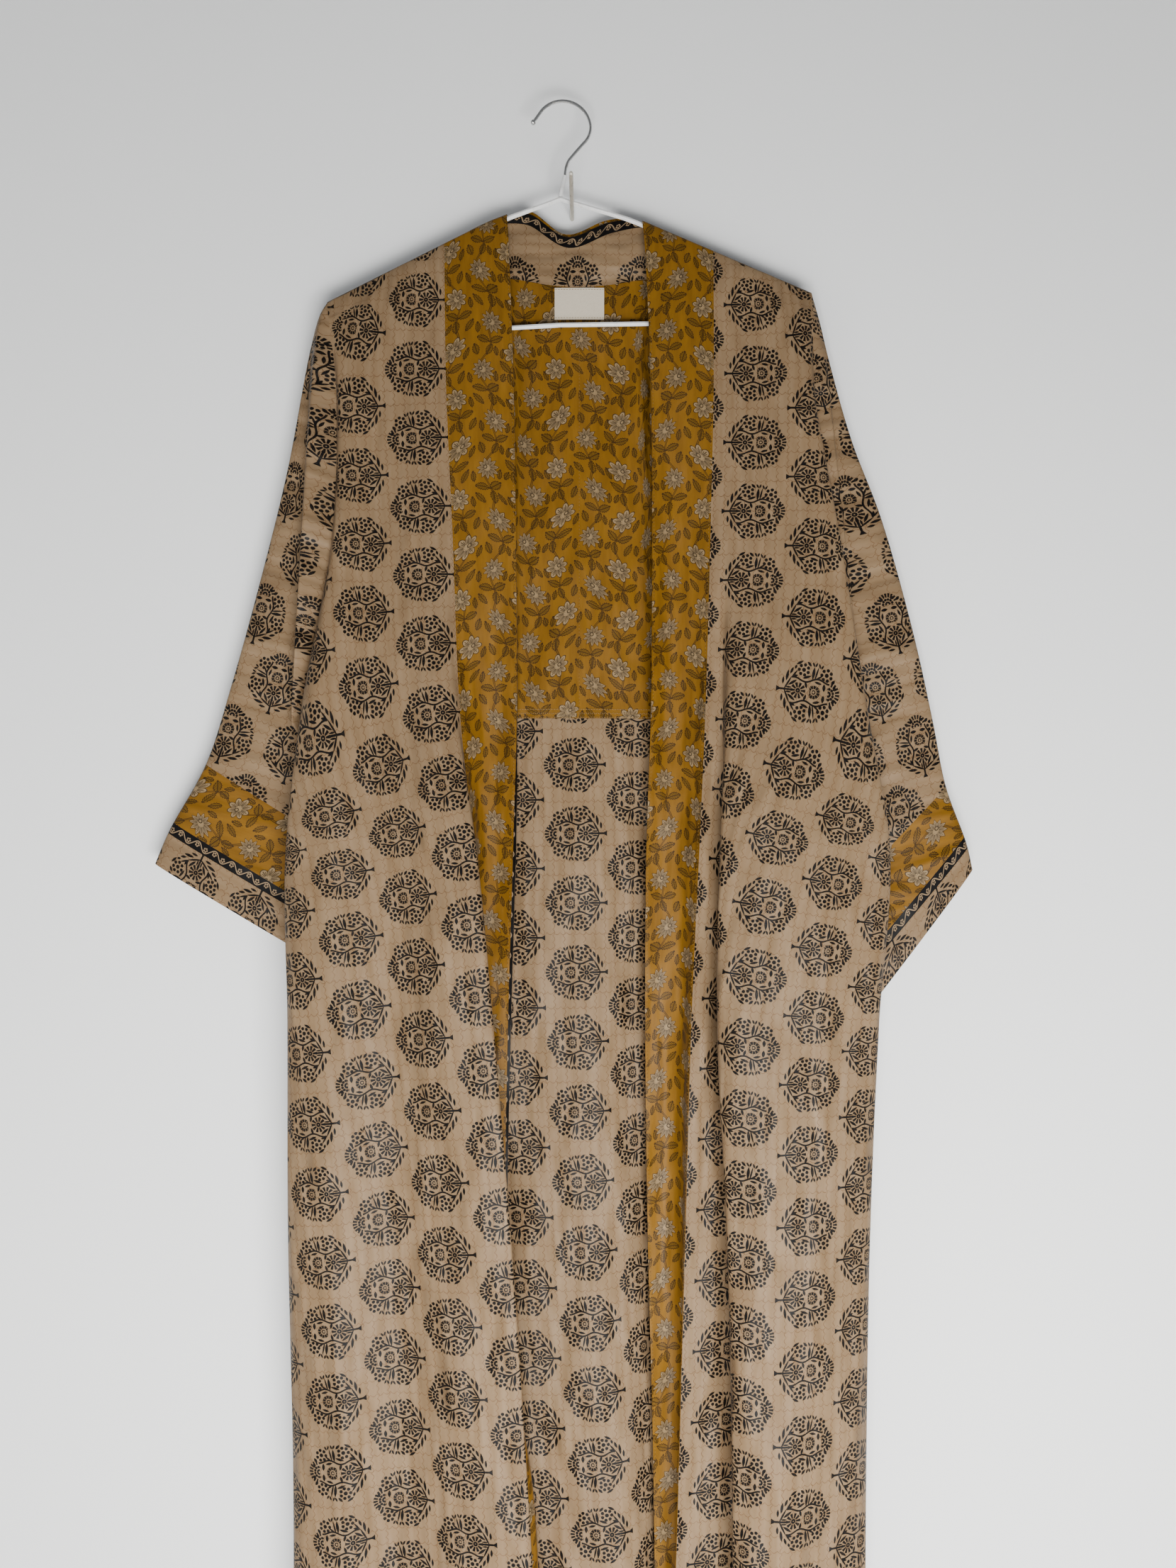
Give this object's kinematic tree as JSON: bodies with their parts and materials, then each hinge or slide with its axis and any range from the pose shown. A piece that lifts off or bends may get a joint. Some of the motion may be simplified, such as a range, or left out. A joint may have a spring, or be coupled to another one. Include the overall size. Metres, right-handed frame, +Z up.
{
  "type": "kimono on a hanger",
  "caption": "Full-length open-front silk kimono robe with block-printed trees, ochre neckband and cuffs, hung on a wire hanger over a wall peg.",
  "frame": {"origin": "centre of the wall peg's flat end, on the wall", "axes": "+X to the right seen from the front, +Y into the wall, +Z up; the robe's open front faces -Y"},
  "size_m": [0.7092, 0.09, 1.395],
  "materials": {
    "printed_silk": "printed silk, soft sheen",
    "ochre_silk": "printed silk, soft sheen",
    "label_cloth": "woven label, matt",
    "white_coating": "plastic-coated wire",
    "bright_steel": "bright plated wire",
    "peg_metal": "cream satin"
  },
  "bodies": {
    "root": {"back": "printed_silk", "front_left": "printed_silk", "neckband_left": "ochre_silk", "front_right": "printed_silk", "neckband_right": "ochre_silk", "facing_left": "printed_silk", "back_lining": "ochre_silk", "neckband_back": "ochre_silk", "facing_back": "printed_silk", "label": "label_cloth", "sleeve_left": "printed_silk", "cuff_left": "ochre_silk", "cuff_hem_left": "printed_silk", "sleeve_right": "printed_silk", "cuff_right": "ochre_silk", "cuff_hem_right": "printed_silk", "hanger_frame": "white_coating", "hanger_neck": "white_coating", "hanger_hook": "bright_steel", "wall_peg": "peg_metal"}
  },
  "joints": []
}
